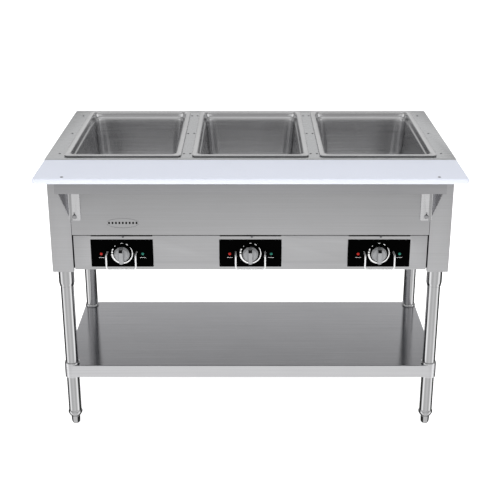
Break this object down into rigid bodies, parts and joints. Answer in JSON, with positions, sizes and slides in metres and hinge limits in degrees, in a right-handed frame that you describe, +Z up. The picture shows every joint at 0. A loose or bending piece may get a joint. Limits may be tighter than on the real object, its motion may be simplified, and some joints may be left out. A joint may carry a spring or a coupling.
{
  "type": "steam table",
  "caption": "Stainless steam table: lift-out pans in heated wells, a white cutting board along the front, knobs under it, and an undershelf between tube legs.",
  "frame": {"origin": "on the floor, under the middle of the whole table's outline", "axes": "+Z up, the cook stands at -Y, +X to the cook's right"},
  "size_m": [1.127, 0.757, 0.8531],
  "materials": {
    "brushed_stainless": "brushed, long grain along the table",
    "bright_stainless": "bright drawn stainless",
    "galvanised_steel": "dull galvanised sheet",
    "white_polyethylene": "fine matte grain",
    "black_enamel": "satin black with white print",
    "knob_grey": "satin silver grey",
    "chrome_wire": "bright chrome plate",
    "red_lens": "clear red, glossy",
    "green_lens": "clear blue-green, glossy",
    "element_sheath": "oxidised, dark",
    "black_phenolic": "moulded, matte",
    "ceramic": "unglazed"
  },
  "bodies": {
    "table": {"top_panel": "brushed_stainless", "side_panel_left": "brushed_stainless", "side_panel_right": "brushed_stainless", "front_panel": "brushed_stainless", "back_panel": "brushed_stainless", "control_fascia": "brushed_stainless", "board_support": "brushed_stainless", "board_bracket_left": "brushed_stainless", "board_bracket_right": "brushed_stainless", "undershelf": "brushed_stainless", "bottom_panel": "galvanised_steel", "cord_inlet": "galvanised_steel", "terminal_block": "ceramic", "cutting_board": "white_polyethylene", "well_liner_left": "galvanised_steel", "heating_element_left": "element_sheath", "control_plate_left": "black_enamel", "heat_switch_left": "black_phenolic", "knob_guard_left": "chrome_wire", "power_lamp_left": "red_lens", "heat_lamp_left": "green_lens", "well_liner_middle": "galvanised_steel", "heating_element_middle": "element_sheath", "control_plate_middle": "black_enamel", "heat_switch_middle": "black_phenolic", "knob_guard_middle": "chrome_wire", "power_lamp_middle": "red_lens", "heat_lamp_middle": "green_lens", "well_liner_right": "galvanised_steel", "heating_element_right": "element_sheath", "control_plate_right": "black_enamel", "heat_switch_right": "black_phenolic", "knob_guard_right": "chrome_wire", "power_lamp_right": "red_lens", "heat_lamp_right": "green_lens", "leg_socket_front_left": "brushed_stainless", "leg_front_left": "brushed_stainless", "foot_insert_front_left": "brushed_stainless", "leg_socket_front_right": "brushed_stainless", "leg_front_right": "brushed_stainless", "foot_insert_front_right": "brushed_stainless", "leg_socket_rear_left": "brushed_stainless", "leg_rear_left": "brushed_stainless", "foot_insert_rear_left": "brushed_stainless", "leg_socket_rear_right": "brushed_stainless", "leg_rear_right": "brushed_stainless", "foot_insert_rear_right": "brushed_stainless"},
    "knob_left": {"knob_left": "knob_grey", "switch_shaft_left": "brushed_stainless"},
    "food_pan_left": {"food_pan_left": "bright_stainless"},
    "knob_middle": {"knob_middle": "knob_grey", "switch_shaft_middle": "brushed_stainless"},
    "food_pan_middle": {"food_pan_middle": "bright_stainless"},
    "knob_right": {"knob_right": "knob_grey", "switch_shaft_right": "brushed_stainless"},
    "food_pan_right": {"food_pan_right": "bright_stainless"},
    "foot_front_left": {"foot_front_left": "brushed_stainless"},
    "foot_front_right": {"foot_front_right": "brushed_stainless"},
    "foot_rear_left": {"foot_rear_left": "brushed_stainless"},
    "foot_rear_right": {"foot_rear_right": "brushed_stainless"}
  },
  "joints": [
    {"name": "knob_left_turn", "type": "hinge", "parent": "table", "child": "knob_left", "pos_m": [-0.3627, -0.1968, 0.572], "axis": [0, 1, 0], "continuous": true},
    {"name": "knob_middle_turn", "type": "hinge", "parent": "table", "child": "knob_middle", "pos_m": [0, -0.1968, 0.572], "axis": [0, 1, 0], "continuous": true},
    {"name": "knob_right_turn", "type": "hinge", "parent": "table", "child": "knob_right", "pos_m": [0.3627, -0.1968, 0.572], "axis": [0, 1, 0], "continuous": true},
    {"name": "food_pan_left_lift", "type": "slide", "parent": "table", "child": "food_pan_left", "axis": [0, 0, 1], "range_m": [0, 0.2]},
    {"name": "food_pan_middle_lift", "type": "slide", "parent": "table", "child": "food_pan_middle", "axis": [0, 0, 1], "range_m": [0, 0.2]},
    {"name": "food_pan_right_lift", "type": "slide", "parent": "table", "child": "food_pan_right", "axis": [0, 0, 1], "range_m": [0, 0.2]},
    {"name": "foot_front_left_screw", "type": "slide", "parent": "table", "child": "foot_front_left", "axis": [0, 0, -1], "range_m": [0, 0.025]},
    {"name": "foot_front_right_screw", "type": "slide", "parent": "table", "child": "foot_front_right", "axis": [0, 0, -1], "range_m": [0, 0.025]},
    {"name": "foot_rear_left_screw", "type": "slide", "parent": "table", "child": "foot_rear_left", "axis": [0, 0, -1], "range_m": [0, 0.025]},
    {"name": "foot_rear_right_screw", "type": "slide", "parent": "table", "child": "foot_rear_right", "axis": [0, 0, -1], "range_m": [0, 0.025]}
  ]
}
